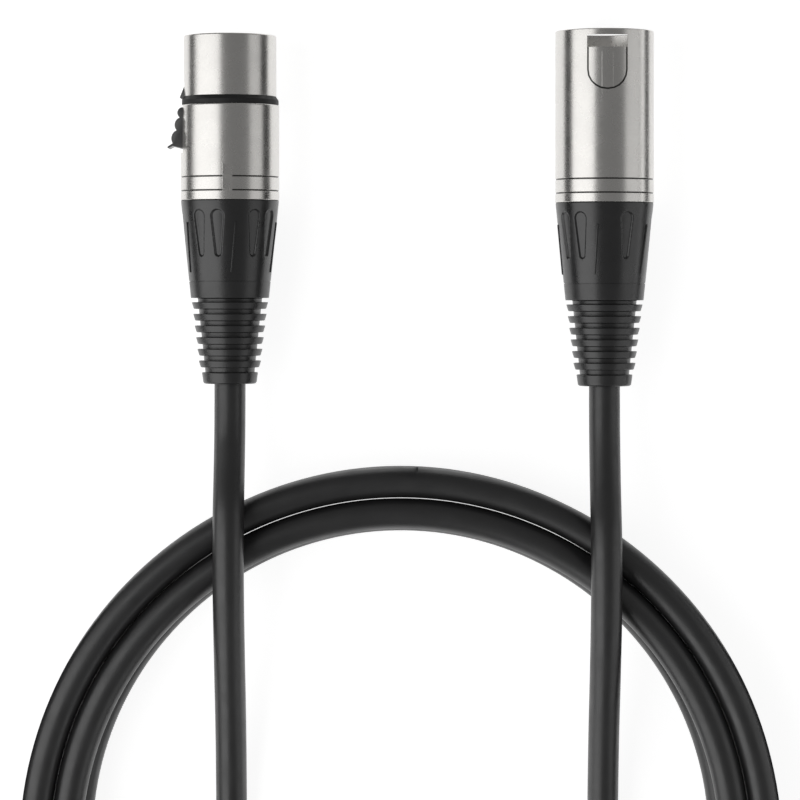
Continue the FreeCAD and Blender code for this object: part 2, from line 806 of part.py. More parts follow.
def main():
    os.makedirs("parts", exist_ok=True)
    female_key, male_key = 180, 90
    parts = {name: lay_plug(shape, female_x, female_mouth, female_key) for name, shape in female_parts().items()}
    parts.update({name: lay_plug(shape, male_x, male_mouth, male_key) for name, shape in male_parts().items()})
    parts.update(cable_parts())
    for name, shape in parts.items():
        if not shape.isValid() or not shape.Solids or shape.Volume <= 0:
            print("look at", name, shape.isValid(), len(shape.Solids), shape.Volume)
        shape.exportStep(f"parts/{name}.step")
    print(len(parts), "nodes; female plug at x", round(female_x, 3), "mouth", round(female_mouth, 3),
          "; male plug at x", round(male_x, 3), "mouth", round(male_mouth, 3),
          "; coil centre", [round(v, 3) for v in ring_centre])


main()
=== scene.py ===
"""A coiled microphone cable, with a female and a male three-way plug, as it lies on a white surface.

Lengths that end in _mm, and everything in a plug's own space, are in millimetres. The rest is in metres. In a
plug's own space its axis is +Z, depths are counted from its mouth towards its cable, and its key faces +X.
"""

import bmesh
import bpy
import math
from collections import namedtuple
from mathutils import Matrix, Vector


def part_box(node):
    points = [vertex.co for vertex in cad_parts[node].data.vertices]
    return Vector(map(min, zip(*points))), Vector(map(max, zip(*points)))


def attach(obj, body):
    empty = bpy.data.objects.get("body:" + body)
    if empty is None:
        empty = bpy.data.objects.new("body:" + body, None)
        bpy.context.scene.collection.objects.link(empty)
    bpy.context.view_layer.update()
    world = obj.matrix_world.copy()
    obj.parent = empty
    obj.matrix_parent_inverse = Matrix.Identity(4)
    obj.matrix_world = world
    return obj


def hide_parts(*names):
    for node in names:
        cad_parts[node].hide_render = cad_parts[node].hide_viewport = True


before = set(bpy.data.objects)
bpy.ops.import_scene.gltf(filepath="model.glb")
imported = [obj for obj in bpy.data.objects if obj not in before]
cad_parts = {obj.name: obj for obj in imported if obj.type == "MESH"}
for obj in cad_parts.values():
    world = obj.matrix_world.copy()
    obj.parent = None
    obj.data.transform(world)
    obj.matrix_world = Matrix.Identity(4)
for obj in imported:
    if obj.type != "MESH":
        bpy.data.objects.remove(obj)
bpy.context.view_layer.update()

bl_info = {
    "name": "Coiled Plug Cable",
    "version": (1, 0, 0),
    "blender": (4, 5, 0),
    "location": "3D View > Sidebar > Plug Cable",
    "description": "Builds a coiled microphone cable with its two plugs",
    "category": "Object",
}

MM = 0.001
LAY_GAP = 0.00045
ROUND_STEPS = 128
FAR_MM = 40.0
BUSHING_STEPS = 600
FLUTE_GRID_MM = 0.078

# The shells
shell_radius_mm = 9.5
nose_radius_mm = 8.95
nose_wall_mm = 0.95
rear_wall_mm = 1.5
mating_gap_mm = 0.1
rim_round_mm = 0.28
line_width_mm = 0.3
line_depth_mm = 0.16
rear_line_from_end_mm = 1.8
front_line_from_end_mm = 4.45
ramp_width_mm = 1.85
ramp_length_mm = 2.3
ramp_height_mm = 0.25
ring_depth_mm = 11.75
ring_width_mm = 1.6
ring_seat_mm = 8.45
ring_front_mm = 8.9
ring_rear_mm = 9.38
male_shoulder_mm = 16.2

# The key, the latch and their windows
keyway_width_mm = 3.0
keyway_length_mm = 9.6
hook_window_mm = (4.3, 9.0, 13.55)
tab_window_mm = (6.6, 13.45, 22.6)
window_floor_mm = 6.0
tongue_window_mm = (7.7, 1.2, 3.6)
tongue_rear_mm = 11.65
tongue_groove_mm = 0.32
tongue_groove_depth_mm = 0.22
key_mm = (2.6, 8.1, 4.2, 14.6)

# The bushing and the boot
bushing_length_mm = 15.5
bushing_front_mm = 9.45
bushing_rear_mm = 7.86
spigot_mm = (7.17, 7.92, 4.6)
flute_sectors = 5
flute_pair_angle = 25.3
single_flute_sector = 4
flute_front_mm = 1.75
flute_length_mm = 9.2
flute_head_radius_mm = 1.42
flute_toe_radius_mm = 0.74
flute_flank_mm = 0.34
fin_angle = 20.0
fin_front_mm = 4.2
fin_length_mm = 9.7
fin_width_mm = 0.34
fin_height_mm = 0.2
fin_slant = -4.4
boot_length_mm = 19.8
boot_collar_mm = 3.3
boot_bore_mm = 3.2
boot_plug_mm = (4.9, 3.6)
boot_edge_mm = 0.15
parting_depth_mm = 0.16
parting_width_mm = 0.12
rib_pitch_mm = 2.25
rib_width_mm = 1.1
rib_ahead_mm = 0.2
rib_slope_mm = 0.4
rib_front_mm = 7.36
rib_taper_mm = 0.27
core_front_mm = 6.2
core_rear_mm = 4.5
tail_radius_mm = 5.4

Plug = namedtuple("Plug", "name x mouth height key shell_length flute_turn")


def plug_from_frame(name, key, flute_turn):
    """A plug's axis from its round boot, and its mouth and length from its shell."""
    low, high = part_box(name + "_shell")
    left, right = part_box(name + "_boot")
    middle = (left + right) / 2
    return Plug(name, middle.x, high.y, middle.z, key, (high.y - low.y) / MM, flute_turn)


FEMALE = plug_from_frame("female", 180.0, 138.5)
MALE = plug_from_frame("male", 90.0, 34.2)


class PlugCableSizes(bpy.types.PropertyGroup):
    """The sizes that a user would change."""

    cable_diameter: bpy.props.FloatProperty(
        name="Cable diameter", description="Outer diameter of the cable's jacket", default=0.006, min=0.004,
        max=0.008, unit="LENGTH")
    ring_radius: bpy.props.FloatProperty(
        name="Ring radius", description="Radius of the coil's outermost loop, at the middle of the cable",
        default=0.0705, min=0.06, max=0.075, unit="LENGTH")
    flute_depth: bpy.props.FloatProperty(
        name="Flute depth", description="Depth of the bushing's grip flutes", default=0.00034, min=0.0, max=0.0006,
        unit="LENGTH")
    rib_count: bpy.props.IntProperty(
        name="Ribs", description="Number of ribs on each boot", default=6, min=3, max=6)


class PlugCableFinishes(bpy.types.PropertyGroup):
    """The colours and finishes that a user would change."""

    nickel: bpy.props.FloatVectorProperty(
        name="Nickel", description="Colour of the plated shells", default=(0.74, 0.725, 0.7), size=3, min=0, max=1,
        subtype="COLOR")
    nickel_roughness: bpy.props.FloatProperty(
        name="Nickel roughness", description="How satin the plating is", default=0.27, min=0.0, max=1.0,
        subtype="FACTOR")
    latch_grey: bpy.props.FloatVectorProperty(
        name="Latch grey", description="Colour of the latch lever", default=(0.115, 0.115, 0.115), size=3, min=0,
        max=1, subtype="COLOR")
    plastic_black: bpy.props.FloatVectorProperty(
        name="Bushing black", description="Colour of the moulded bushings", default=(0.011, 0.011, 0.0115), size=3,
        min=0, max=1, subtype="COLOR")
    rubber_black: bpy.props.FloatVectorProperty(
        name="Boot black", description="Colour of the soft boots", default=(0.011, 0.011, 0.0115), size=3, min=0,
        max=1, subtype="COLOR")
    jacket_black: bpy.props.FloatVectorProperty(
        name="Jacket black", description="Colour of the cable's jacket", default=(0.016, 0.016, 0.0165), size=3,
        min=0, max=1, subtype="COLOR")


def sizes():
    return bpy.context.scene.plug_cable_sizes


def finishes():
    return bpy.context.scene.plug_cable_finishes


# Materials


def new_material(name, colour, roughness, metallic=0.0, **sockets):
    """A material with one Principled shader. Returns both."""
    material = bpy.data.materials.new(name)
    material.use_nodes = True
    material.diffuse_color = (*colour, 1.0)
    shader = material.node_tree.nodes["Principled BSDF"]
    shader.inputs["Base Color"].default_value = (*colour, 1.0)
    shader.inputs["Roughness"].default_value = roughness
    shader.inputs["Metallic"].default_value = metallic
    for socket, value in sockets.items():
        shader.inputs[socket.replace("_", " ")].default_value = value
    return material, shader


def noise(material, scale, detail):
    """A noise on the object's own coordinates; scale is in waves to the metre."""
    nodes = material.node_tree.nodes
    place = nodes.new("ShaderNodeTexCoord")
    texture = nodes.new("ShaderNodeTexNoise")
    texture.inputs["Scale"].default_value = scale
    texture.inputs["Detail"].default_value = detail
    material.node_tree.links.new(place.outputs["Object"], texture.inputs["Vector"])
    return texture.outputs["Fac"]


def spread(material, fac, low, high, start=0.3, end=0.7):
    """The factor, taken from start and end to low and high."""
    node = material.node_tree.nodes.new("ShaderNodeMapRange")
    for socket, value in (("From Min", start), ("From Max", end), ("To Min", low), ("To Max", high)):
        node.inputs[socket].default_value = value
    material.node_tree.links.new(fac, node.inputs["Value"])
    return node.outputs["Result"]


def tint(material, fac, first, second):
    """A colour between first and second by the factor."""
    node = material.node_tree.nodes.new("ShaderNodeMix")
    node.data_type = "RGBA"
    node.inputs["A"].default_value = (*first, 1.0)
    node.inputs["B"].default_value = (*second, 1.0)
    material.node_tree.links.new(fac, node.inputs["Factor"])
    return node.outputs["Result"]


def bumps(material, heights):
    """Adds bumps to the shader's normal. heights holds (factor, distance in metres) pairs."""
    nodes, links = material.node_tree.nodes, material.node_tree.links
    normal = None
    for fac, distance in heights:
        bump = nodes.new("ShaderNodeBump")
        bump.inputs["Strength"].default_value = 1.0
        bump.inputs["Distance"].default_value = distance
        links.new(fac, bump.inputs["Height"])
        if normal:
            links.new(normal, bump.inputs["Normal"])
        normal = bump.outputs["Normal"]
    links.new(normal, nodes["Principled BSDF"].inputs["Normal"])


def shade(colour, factor):
    return tuple(min(1.0, c * factor) for c in colour)


def satin_nickel():
    """Nickel plating on a die casting: satin, with a fine grain and a cloudy gloss, and painted shade on the floors
    of its fine grooves.
    """
    colour, gloss = finishes().nickel, finishes().nickel_roughness
    material, shader = new_material("satin nickel", colour, gloss, metallic=1.0)
    links = material.node_tree.links
    cloud = noise(material, 260, 3)
    links.new(spread(material, cloud, gloss * 0.93, gloss * 1.08), shader.inputs["Roughness"])
    plating = tint(material, spread(material, noise(material, 5200, 2), 0, 1), shade(colour, 0.94),
                   shade(colour, 1.04))
    # Painted shade: where the shell's groove mask is set, the colour falls to an eighth of the nickel's.
    painted_groove_shade = material.node_tree.nodes.new("ShaderNodeAttribute")
    painted_groove_shade.attribute_name = "painted_groove_shade"
    mix = material.node_tree.nodes.new("ShaderNodeMix")
    mix.data_type = "RGBA"
    links.new(painted_groove_shade.outputs["Fac"], mix.inputs["Factor"])
    links.new(plating, mix.inputs["A"])
    mix.inputs["B"].default_value = (*shade(colour, 0.12), 1.0)
    links.new(mix.outputs["Result"], shader.inputs["Base Color"])
    bumps(material, [(noise(material, 9000, 2), 0.0000004)])
    return material


def satin_black(name, colour, roughness, cloud, gloss, patches, tones, grains):
    """A black with a cloudy gloss, a little change of tone and grains of (scale, detail, depth in metres)."""
    material, shader = new_material(name, colour, roughness, Specular_IOR_Level=0.9)
    links = material.node_tree.links
    links.new(spread(material, noise(material, *cloud), *gloss), shader.inputs["Roughness"])
    links.new(tint(material, noise(material, *patches), *(shade(colour, tone) for tone in tones)),
              shader.inputs["Base Color"])
    bumps(material, [(noise(material, scale, detail), depth) for scale, detail, depth in grains])
    return material


def moulded_plastic():
    """Black moulded nylon with a fine spark-eroded grain."""
    return satin_black("bushing black", finishes().plastic_black, 0.29, (420, 3), (0.26, 0.33), (700, 3),
                       (0.85, 1.2), [(5200, 3, 0.000012)])


def boot_rubber():
    """Soft black elastomer, a little cloudy where it has been handled."""
    return satin_black("boot black", finishes().rubber_black, 0.34, (380, 4), (0.3, 0.39), (600, 4),
                       (0.8, 1.25), [(3600, 4, 0.000014)])


def cable_jacket():
    """Extruded black jacket: satin, with a faint orange peel and slow waves from the cores inside."""
    return satin_black("jacket black", finishes().jacket_black, 0.4, (260, 4), (0.35, 0.46), (450, 4),
                       (0.85, 1.2), [(180, 2, 0.00003), (2400, 3, 0.000012)])


def plain_finish(name, colour, roughness, metallic=0.0, grain=2400, depth=0.000008, change=0.12):
    """A finish for a small or inner piece: its colour, gloss and grain vary a little."""
    material, shader = new_material(name, colour, roughness, metallic)
    links = material.node_tree.links
    cloud = noise(material, grain / 5, 3)
    links.new(spread(material, cloud, roughness * 0.85, roughness * 1.2), shader.inputs["Roughness"])
    links.new(tint(material, cloud, shade(colour, 1 - change), shade(colour, 1 + change)),
              shader.inputs["Base Color"])
    bumps(material, [(noise(material, grain, 3), depth)])
    return material


# Shapes in a plug's own space


def rounded(corners):
    """An outline's points, from (x, y) corners or (x, y, round) corners, with extra points beside each round."""
    points = []
    for before, corner, after in zip(corners[-1:] + corners[:-1], corners, corners[1:] + corners[:1]):
        here = Vector(corner[:2])
        size = corner[2] if len(corner) > 2 else 0.0
        if size <= 0.0:
            points.append(here)
            continue
        into, out = Vector(before[:2]) - here, Vector(after[:2]) - here
        half = into.angle(out) / 2
        reach = min(size / math.tan(half), 0.48 * into.length, 0.48 * out.length)
        radius = reach * math.tan(half)
        centre = here + (into.normalized() + out.normalized()).normalized() * (radius / math.sin(half))
        first, last = here + into.normalized() * reach, here + out.normalized() * reach
        points.append(first + into.normalized() * min(0.25 * reach, 0.8 * (0.5 * into.length - reach)))
        sweep = math.pi - 2 * half
        steps = max(2, math.ceil(math.degrees(sweep) / 18))
        start = first - centre
        side = 1 if start.cross(last - centre) > 0 else -1
        for k in range(steps + 1):
            points.append(centre + Matrix.Rotation(side * sweep * k / steps, 2) @ start)
        points.append(last + out.normalized() * min(0.25 * reach, 0.8 * (0.5 * out.length - reach)))
    return points


def revolve(corners, steps=ROUND_STEPS):
    """A closed outline of (radius, depth) corners, spun about the plug's axis."""
    bm = bmesh.new()
    verts = [bm.verts.new((p.x, 0, p.y)) for p in rounded(corners)]
    edges = [bm.edges.new(pair) for pair in zip(verts, verts[1:] + verts[:1])]
    bmesh.ops.spin(bm, geom=verts + edges, cent=(0, 0, 0), axis=(0, 0, 1), dvec=(0, 0, 0),
                   angle=2 * math.pi, steps=steps, use_merge=True)
    return bm


def clean(bm):
    bmesh.ops.remove_doubles(bm, verts=bm.verts, dist=0.0005)
    bmesh.ops.recalc_face_normals(bm, faces=bm.faces)
    return bm


def to_mesh(bm):
    mesh = bpy.data.meshes.new("shape")
    clean(bm).to_mesh(mesh)
    bm.free()
    return mesh


def box_shape(x0, x1, width, front, rear, turn=0.0):
    """A box centred across the key, from height x0 to x1."""
    bm = bmesh.new()
    size = Matrix.Diagonal((x1 - x0, width, rear - front, 1))
    place = Matrix.Translation(((x0 + x1) / 2, 0, (front + rear) / 2))
    bmesh.ops.create_cube(bm, size=1.0, matrix=Matrix.Rotation(math.radians(turn), 4, "Z") @ place @ size)
    return bm


def prism(corners, place, push):
    """An outline of (a, b) corners, put in space by place and extruded by the vector push."""
    bm = bmesh.new()
    verts = [bm.verts.new(place(p.x, p.y)) for p in rounded(corners)]
    face = bm.faces.new(verts)
    grown = bmesh.ops.extrude_face_region(bm, geom=[face])["geom"]
    bmesh.ops.translate(bm, verts=[v for v in grown if isinstance(v, bmesh.types.BMVert)], vec=push)
    return bm


def as_object(name, mesh):
    piece = bpy.data.objects.new(name, mesh)
    bpy.context.scene.collection.objects.link(piece)
    return piece


def changed(mesh, operation, tools):
    """The mesh joined with, or cut by, each of the tools."""
    body = as_object("worked piece", mesh)
    others = [as_object("tool", to_mesh(bm)) for bm in tools]
    for other in others:
        step = body.modifiers.new("work", "BOOLEAN")
        step.operation = operation
        step.solver = "EXACT"
        step.object = other
    graph = bpy.context.evaluated_depsgraph_get()
    result = bpy.data.meshes.new_from_object(body.evaluated_get(graph), depsgraph=graph)
    for thing in (body, *others):
        data = thing.data
        bpy.data.objects.remove(thing)
        bpy.data.meshes.remove(data)
    return result


def carved(mesh, tools):
    return changed(mesh, "DIFFERENCE", tools)


def merged(mesh, tools):
    return changed(mesh, "UNION", tools)


def seat(plug):
    """Takes a plug's own space to the frame."""
    lay = Matrix.Rotation(math.radians(90), 4, "X") @ Matrix.Rotation(math.radians(plug.key), 4, "Z")
    return Matrix.Translation((plug.x, plug.mouth, plug.height)) @ lay @ Matrix.Scale(MM, 4)


def mark_painted_groove_shade(mesh):
    """Marks the floors of a shell's fine grooves for painted shade, which darkens the nickel there. Its mouth stays
    unshaded.
    """
    mouth_mm, slack_mm = 2, 0.02
    marks = mesh.attributes.new("painted_groove_shade", "FLOAT", "POINT")
    low, high = shell_radius_mm - tongue_groove_depth_mm - slack_mm, shell_radius_mm - 0.6 * line_depth_mm
    for vert, mark in zip(mesh.vertices, marks.data):
        # Painted shade mask: 1 on the groove floors, 0 near the mouth and elsewhere.
        mark.value = float(low < math.hypot(vert.co.x, vert.co.y) < high and vert.co.z > mouth_mm)
    return mesh


def turned_normals(mesh, plug):
    """Gives a shell's round faces the normals of their cylinder, also beside its cuts, and its ramps flat ones."""
    near, even, facing, ramp_area = 0.05 * MM, 0.01 * MM, 0.99, 0.15 * MM * MM
    normals = [corner.vector.copy() for corner in mesh.corner_normals]
    for face in mesh.polygons:
        arms = [Vector((mesh.vertices[v].co.x - plug.x, 0, mesh.vertices[v].co.z - plug.height))
                for v in face.vertices]
        radii = [arm.length for arm in arms]
        if min(radii) > nose_radius_mm * MM - near and max(radii) - min(radii) < even:
            for k, arm in zip(face.loop_indices, arms):
                if face.normal.dot(arm) > facing * arm.length:
                    normals[k] = arm.normalized()
        elif min(radii) > shell_radius_mm * MM - near and face.area > ramp_area:
            for k in face.loop_indices:
                normals[k] = face.normal.copy()
    mesh.normals_split_custom_set(normals)


def place_piece(name, mesh, plug, body, material, stands_for, crease=32.0):
    """Puts a finished mesh in the frame as a piece that rides on a body and stands for a node."""
    mesh.transform(seat(plug))
    mesh.name = name
    for face in mesh.polygons:
        face.use_smooth = True
    mesh.set_sharp_from_angle(angle=math.radians(crease))
    mesh.materials.clear()
    mesh.materials.append(material)
    piece = as_object(name, mesh)
    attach(piece, body)
    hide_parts(stands_for)
    return piece


# The shells


def shell_lines(length):
    """The two fine grooves round a shell's rear, as corners from the front one to the rear one."""
    corners, half, floor = [], line_width_mm / 2, shell_radius_mm - line_depth_mm
    for from_end in (front_line_from_end_mm, rear_line_from_end_mm):
        middle = length - from_end
        corners += [(shell_radius_mm, middle - half, 0.05), (floor, middle - half / 2, 0.04),
                    (floor, middle + half / 2, 0.04), (shell_radius_mm, middle + half, 0.05)]
    return corners


def index_ramps(length):
    """Two small ramps on a shell's rear, a quarter turn from the key. Each rises to one of the lines."""
    low, level, top = shell_radius_mm - 0.3, shell_radius_mm - 0.03, shell_radius_mm + ramp_height_mm
    corners = []
    for from_end in (front_line_from_end_mm, rear_line_from_end_mm):
        rear = length - from_end - line_width_mm / 2
        corners += [(level, rear - ramp_length_mm), (top, rear, 0.06), (level, rear + 0.04)]
    rear += line_width_mm + 0.06
    corners = [(low, corners[0][1]), *corners, (level, rear), (low, rear)]
    half = ramp_width_mm / 2
    bm = clean(prism(corners, lambda a, b: (-half, -a, b), Vector((ramp_width_mm, 0, 0))))
    sides = {e for f in bm.faces if abs(f.normal.x) > 0.9 for e in f.edges
             if min(-v.co.y for v in e.verts) > level - 0.01}
    bmesh.ops.bevel(bm, geom=list(sides), offset=0.18, offset_type="OFFSET", segments=4, profile=0.5,
                    affect="EDGES", clamp_overlap=True, material=-1)
    return bm


def window(sizes_mm, turn=0.0):
    width, front, rear = sizes_mm
    return box_shape(window_floor_mm, FAR_MM, width, front, rear, turn)


def female_shell_mesh():
    bore, rear_bore = nose_radius_mm - nose_wall_mm, shell_radius_mm - rear_wall_mm
    shoulder = ring_depth_mm + ring_width_mm
    length = FEMALE.shell_length
    corners = [
        (bore, 0, 0.15), (nose_radius_mm, 0, rim_round_mm), (nose_radius_mm, ring_depth_mm, 0.06),
        (ring_seat_mm, ring_depth_mm), (ring_seat_mm, shoulder), (shell_radius_mm, shoulder, 0.3),
        *shell_lines(length), (shell_radius_mm, length, 0.15), (rear_bore, length, 0.15),
        (rear_bore, shoulder), (bore, shoulder - 0.3)]
    tools = [window((keyway_width_mm, -1.0, keyway_length_mm)), window(hook_window_mm), window(tab_window_mm)]
    return carved(merged(to_mesh(revolve(corners)), [index_ramps(length)]), tools)


def tongue_outline(half, front, rear):
    """A U, straight at its front and round at its rear."""
    return [(-half, front), (-half, rear, half * 0.999), (half, rear, half * 0.999), (half, front)]


def male_shell_mesh():
    bore, rear_bore = nose_radius_mm + mating_gap_mm, shell_radius_mm - rear_wall_mm
    length = MALE.shell_length
    corners = [
        (bore, 0, 0.12), (shell_radius_mm, 0, 0.2), *shell_lines(length), (shell_radius_mm, length, 0.15),
        (rear_bore, length, 0.15), (rear_bore, male_shoulder_mm), (bore, male_shoulder_mm)]
    width, front, rear = tongue_window_mm
    half = width / 2
    outer = to_mesh(prism(tongue_outline(half, rear - 1.0, tongue_rear_mm),
                          lambda a, b: (window_floor_mm, a, b), Vector((6, 0, 0))))
    inner = prism(tongue_outline(half - tongue_groove_mm, rear - 2.0, tongue_rear_mm - tongue_groove_mm),
                  lambda a, b: (window_floor_mm - 1, a, b), Vector((8, 0, 0)))
    floor = shell_radius_mm - tongue_groove_depth_mm
    skin = revolve([(floor, 0), (FAR_MM, 0), (FAR_MM, FAR_MM), (floor, FAR_MM)])
    groove = bmesh.new()
    groove.from_mesh(changed(carved(outer, [inner]), "INTERSECT", [clean(skin)]))
    key_width, key_low, key_front, key_rear = key_mm
    key = box_shape(key_low, bore + 0.4, key_width, key_front, key_rear)
    bmesh.ops.bevel(key, geom=key.edges[:], offset=0.25, offset_type="OFFSET", segments=2, profile=0.5,
                    affect="EDGES", material=-1)
    mesh = merged(to_mesh(revolve(corners)), [key])
    return carved(mesh, [window(tongue_window_mm), groove])


class PLUGCABLE_OT_shells(bpy.types.Operator):
    """Make the two nickel shells, with their windows, grooves and index ramps"""

    bl_idname = "plug_cable.shells"
    bl_label = "Shells"

    def execute(self, context):
        nickel = satin_nickel()
        for plug, mesh in ((FEMALE, female_shell_mesh()), (MALE, male_shell_mesh())):
            shell = place_piece(f"{plug.name}_nickel_shell", mark_painted_groove_shade(mesh), plug, "shells_and_cable",
                                nickel, f"{plug.name}_shell")
            turned_normals(shell.data, plug)
        return {"FINISHED"}


class PLUGCABLE_OT_front_ring(bpy.types.Operator):
    """Make the black ring behind the female nose"""

    bl_idname = "plug_cable.front_ring"
    bl_label = "Front ring"

    def execute(self, context):
        rear = ring_depth_mm + ring_width_mm
        corners = [(ring_seat_mm, ring_depth_mm), (ring_front_mm, ring_depth_mm, 0.1),
                   (ring_rear_mm, ring_depth_mm + 0.45 * ring_width_mm, 0.15), (ring_rear_mm, rear, 0.08),
                   (ring_seat_mm, rear)]
        gap_width = hook_window_mm[0]
        mesh = carved(to_mesh(revolve(corners)), [window((gap_width, ring_depth_mm - 1, rear + 1))])
        rubber = plain_finish("ring rubber", (0.012, 0.012, 0.012), 0.55)
        place_piece("female_rubber_ring", mesh, FEMALE, "shells_and_cable", rubber,
                    "female_front_ring")
        return {"FINISHED"}


# The bushings and boots


def flute_angles():
    """The angle of each flute and of each fin round the bushing, in degrees."""
    period = 360 / flute_sectors
    flutes, fins = [], []
    for k in range(flute_sectors):
        pair = [flute_pair_angle / 2] if k == single_flute_sector else [0, flute_pair_angle]
        flutes += [k * period + turn for turn in pair]
        fins.append(k * period - fin_angle)
    return flutes, fins


def cone_radius(depth):
    return bushing_front_mm + (bushing_rear_mm - bushing_front_mm) * depth / bushing_length_mm


def inside_flute(across, along):
    """How far a point lies inside a tear-shaped flute, in millimetres; below 0 it is outside."""
    front, rear = flute_head_radius_mm, flute_toe_radius_mm
    reach = flute_length_mm - front - rear
    along -= front
    lean = (front - rear) / reach
    rise = math.sqrt(1 - lean * lean)
    across = abs(across)
    k = along * rise - across * lean
    if k < 0:
        return front - math.hypot(across, along)
    if k > rise * reach:
        return rear - math.hypot(across, along - reach)
    return front - (across * rise + along * lean)


def press_flutes(bm, depth_mm):
    """Sinks the grip flutes into the bushing's cone."""
    flutes, _ = flute_angles()
    for vert in bm.verts:
        radius = math.hypot(vert.co.x, vert.co.y)
        depth = vert.co.z
        if depth < flute_front_mm or depth > flute_front_mm + flute_length_mm:
            continue
        if radius < cone_radius(depth) - 0.05:
            continue
        angle = math.degrees(math.atan2(vert.co.y, vert.co.x))
        for flute in flutes:
            off = (angle - flute + 180) % 360 - 180
            inside = inside_flute(radius * math.radians(off), depth - flute_front_mm)
            if inside > 0:
                share = min(1.0, inside / flute_flank_mm)
                sink = depth_mm * share * share * (3 - 2 * share)
                vert.co.x *= (radius - sink) / radius
                vert.co.y *= (radius - sink) / radius


def fin_shape(angle):
    """One raised line on the cone, thin and slanted, sunk at both ends."""
    bm = box_shape(-0.5, fin_height_mm, fin_width_mm, -fin_length_mm / 2, fin_length_mm / 2)
    top = [e for e in bm.edges if all(v.co.x > 0 for v in e.verts)]
    bmesh.ops.bevel(bm, geom=top, offset=0.12, offset_type="OFFSET", segments=3, profile=0.5, affect="EDGES",
                    material=-1)
    middle = fin_front_mm + fin_length_mm / 2
    taper = math.atan((bushing_rear_mm - bushing_front_mm) / bushing_length_mm)
    lie = Matrix.Rotation(taper, 4, "Y") @ Matrix.Rotation(math.radians(fin_slant), 4, "X")
    place = Matrix.Rotation(math.radians(angle), 4, "Z") @ Matrix.Translation((cone_radius(middle), 0, middle))
    bmesh.ops.transform(bm, matrix=place @ lie, verts=bm.verts)
    return bm


def bushing_mesh(plug):
    """The screwed bushing's skin: cone, flutes, fins, the rolled front edge and the spigot behind it."""
    inner, outer, spigot = spigot_mm
    rear_hole = boot_plug_mm[0] + 0.06
    tail = flute_front_mm + flute_length_mm
    fine = [flute_front_mm + FLUTE_GRID_MM * k for k in range(round(flute_length_mm / FLUTE_GRID_MM))]
    behind = [tail + (bushing_length_mm - 0.35 - tail) * k / 6 for k in range(1, 7)]
    depths = [0.4, 0.9, 1.4, *fine, tail, *behind]
    cone = [(cone_radius(depth), depth) for depth in depths]
    corners = [
        (inner, -spigot), (outer, -spigot), (outer, 0.02), (bushing_front_mm - 0.02, 0.02, 0.22), *cone,
        (bushing_rear_mm, bushing_length_mm, 0.02), (rear_hole, bushing_length_mm),
        (rear_hole, bushing_length_mm - 4), (inner, -0.5)]
    bm = revolve(corners, steps=BUSHING_STEPS)
    press_flutes(bm, sizes().flute_depth / MM)
    _, fins = flute_angles()
    for fin in fins:
        part = bpy.data.meshes.new("fin")
        shape = fin_shape(fin)
        shape.to_mesh(part)
        shape.free()
        bm.from_mesh(part)
        bpy.data.meshes.remove(part)
    turn = Matrix.Rotation(math.radians(plug.flute_turn), 4, "Z")
    bmesh.ops.transform(bm, matrix=Matrix.Translation((0, 0, plug.shell_length)) @ turn, verts=bm.verts)
    return to_mesh(bm)


def boot_mesh(plug):
    """The soft boot: a parting line, a collar that carries on the cone, ribs on a thinning core, and a tail."""
    plug_radius, plug_length = boot_plug_mm
    taper = (bushing_front_mm - bushing_rear_mm) / bushing_length_mm
    shoulder = bushing_rear_mm - taper * boot_collar_mm

    def core(depth):
        share = (depth - boot_collar_mm) / (boot_length_mm - boot_collar_mm)
        return core_front_mm + (core_rear_mm - core_front_mm) * share

    parting_floor, skin_front = bushing_rear_mm - parting_depth_mm, 0.004
    corners = [(boot_bore_mm, -plug_length), (plug_radius, -plug_length), (plug_radius, skin_front),
               (parting_floor, skin_front), (parting_floor, parting_width_mm),
               (bushing_rear_mm - 0.02, parting_width_mm, 0.02), (shoulder, boot_collar_mm, 0.16),
               (core(boot_collar_mm), boot_collar_mm, 0.2)]
    first = boot_collar_mm + rib_pitch_mm - rib_width_mm - boot_edge_mm
    count = sizes().rib_count
    for k in range(count):
        front = first + k * rib_pitch_mm - rib_ahead_mm
        rear = front + rib_width_mm + rib_ahead_mm
        crest = rib_front_mm - k * rib_taper_mm
        corners += [(core(front), front, 0.12), (crest, front, 0.1), (crest - rib_slope_mm, rear, 0.22),
                    (core(rear), rear, 0.12)]
    tail = first + count * rib_pitch_mm - rib_ahead_mm
    corners += [(core(tail), tail, 0.15), (tail_radius_mm, tail, 0.15), (tail_radius_mm - 0.3, boot_length_mm, 0.5),
                (boot_bore_mm, boot_length_mm, 0.3)]
    bm = revolve(corners)
    bmesh.ops.translate(bm, verts=bm.verts, vec=(0, 0, plug.shell_length + bushing_length_mm))
    return to_mesh(bm)


class PLUGCABLE_OT_bushings(bpy.types.Operator):
    """Make the two fluted bushings"""

    bl_idname = "plug_cable.bushings"
    bl_label = "Bushings"

    def execute(self, context):
        black = moulded_plastic()
        for plug in (FEMALE, MALE):
            place_piece(plug.name + "_fluted_bushing", bushing_mesh(plug), plug, plug.name + "_bushing",
                        black, plug.name + "_bushing", crease=40.0)
        return {"FINISHED"}


class PLUGCABLE_OT_boots(bpy.types.Operator):
    """Make the two ribbed boots"""

    bl_idname = "plug_cable.boots"
    bl_label = "Boots"

    def execute(self, context):
        black = boot_rubber()
        for plug in (FEMALE, MALE):
            place_piece(plug.name + "_ribbed_boot", boot_mesh(plug), plug, plug.name + "_boot",
                        black, plug.name + "_boot", crease=50.0)
        return {"FINISHED"}


# The latch


